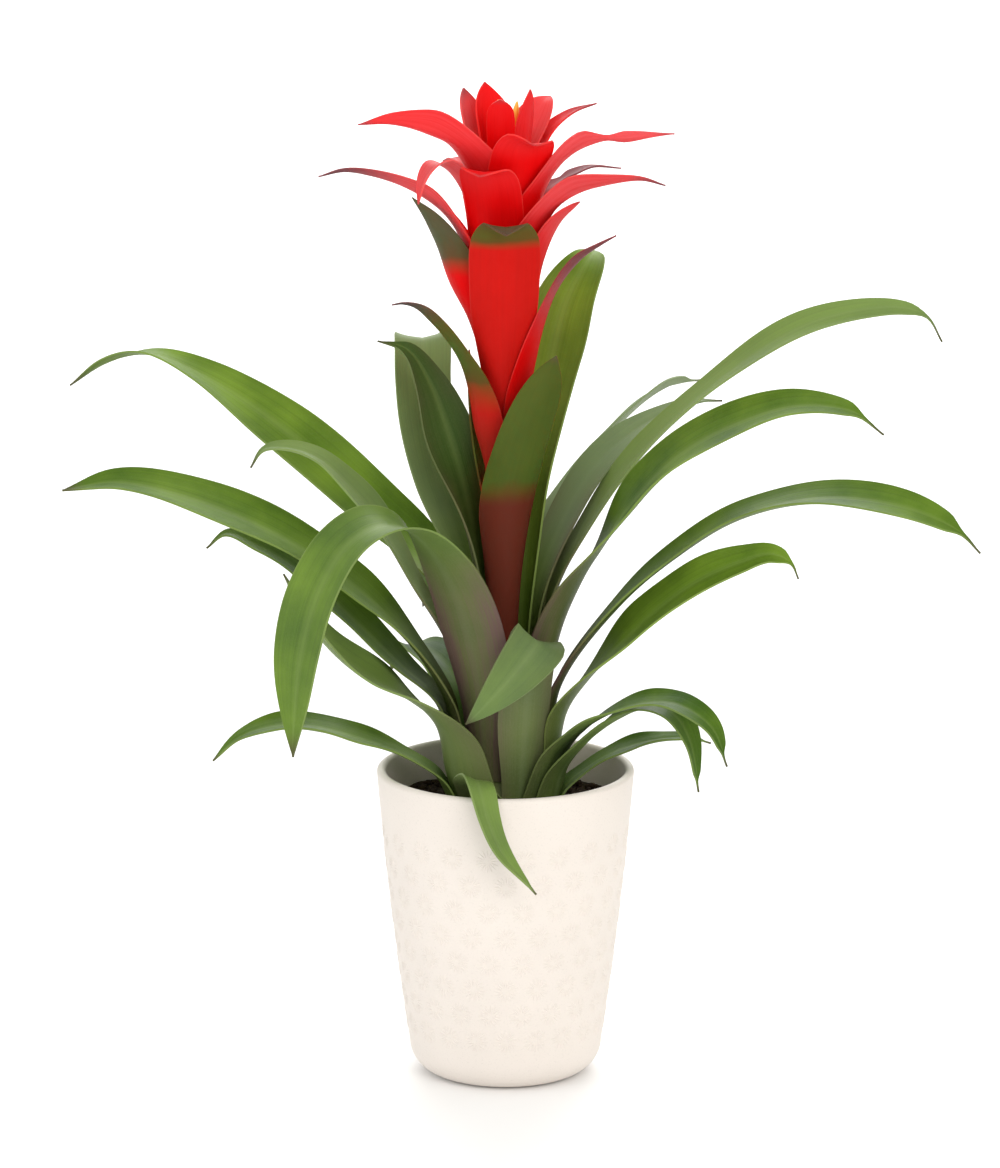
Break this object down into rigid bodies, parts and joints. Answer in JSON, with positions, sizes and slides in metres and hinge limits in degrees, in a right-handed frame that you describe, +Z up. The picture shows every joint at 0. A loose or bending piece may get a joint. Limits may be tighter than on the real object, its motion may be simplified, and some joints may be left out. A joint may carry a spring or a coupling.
{
  "type": "potted guzmania",
  "caption": "Bromeliad with a rosette of long arching green leaves and a red flower head, standing in a tapered cream ceramic pot filled with soil.",
  "frame": {"origin": "centre of the pot's flat foot, on the surface it stands on", "axes": "+Z up along the pot's axis, -Y towards the front that the picture shows, +X to the picture's right"},
  "size_m": [0.358, 0.2172, 0.3931],
  "materials": {
    "ceramic_pot": "matte",
    "peat_soil": "matte",
    "stem": "satin",
    "green_leaf": "satin",
    "red_bract": "satin",
    "yellow_flowers": "satin"
  },
  "bodies": {
    "root": {"cover_pot": "ceramic_pot", "soil": "peat_soil", "stem": "stem", "leaf_tall_dark": "green_leaf", "leaf_tall_right": "green_leaf", "leaf_tall_left": "green_leaf", "leaf_right_back": "green_leaf", "leaf_right_thin": "green_leaf", "leaf_left_high": "green_leaf", "leaf_left_curl": "green_leaf", "leaf_right_high": "green_leaf", "leaf_back_high": "green_leaf", "leaf_front_arch": "green_leaf", "leaf_right_broad": "green_leaf", "leaf_back_left": "green_leaf", "leaf_left_long": "green_leaf", "leaf_right_long": "green_leaf", "leaf_front_fold": "green_leaf", "leaf_left_under": "green_leaf", "leaf_right_curl": "green_leaf", "leaf_back_right": "green_leaf", "leaf_left_broad": "green_leaf", "leaf_right_low": "green_leaf", "leaf_back_side": "green_leaf", "leaf_left_low": "green_leaf", "leaf_right_drop": "green_leaf", "leaf_front_hanging": "green_leaf", "leaf_back_low": "green_leaf", "leaf_right_small": "green_leaf", "stalk_bract_front": "green_leaf", "stalk_bract_back": "red_bract", "stalk_bract_side": "green_leaf", "stalk_bract_left": "red_bract", "stalk_bract_right": "red_bract", "head_bract_front": "red_bract", "head_bract_rear": "red_bract", "head_bract_left": "red_bract", "head_bract_right": "red_bract", "head_bract_long_left": "red_bract", "head_bract_rear_right": "red_bract", "head_bract_long_right": "red_bract", "head_bract_rear_left": "red_bract", "head_bract_centre": "red_bract", "head_bract_upper_rear": "red_bract", "head_bract_folded": "red_bract", "head_bract_upper_right": "red_bract", "head_bract_upper_left": "red_bract", "head_bract_upper_centre": "red_bract", "tuft_bract_left": "red_bract", "tuft_bract_front": "red_bract", "head_bract_top_right": "red_bract", "tuft_bract_right": "red_bract", "tuft_bract_rear": "red_bract", "tuft_bract_flower": "red_bract", "flowers": "yellow_flowers"}
  },
  "joints": []
}
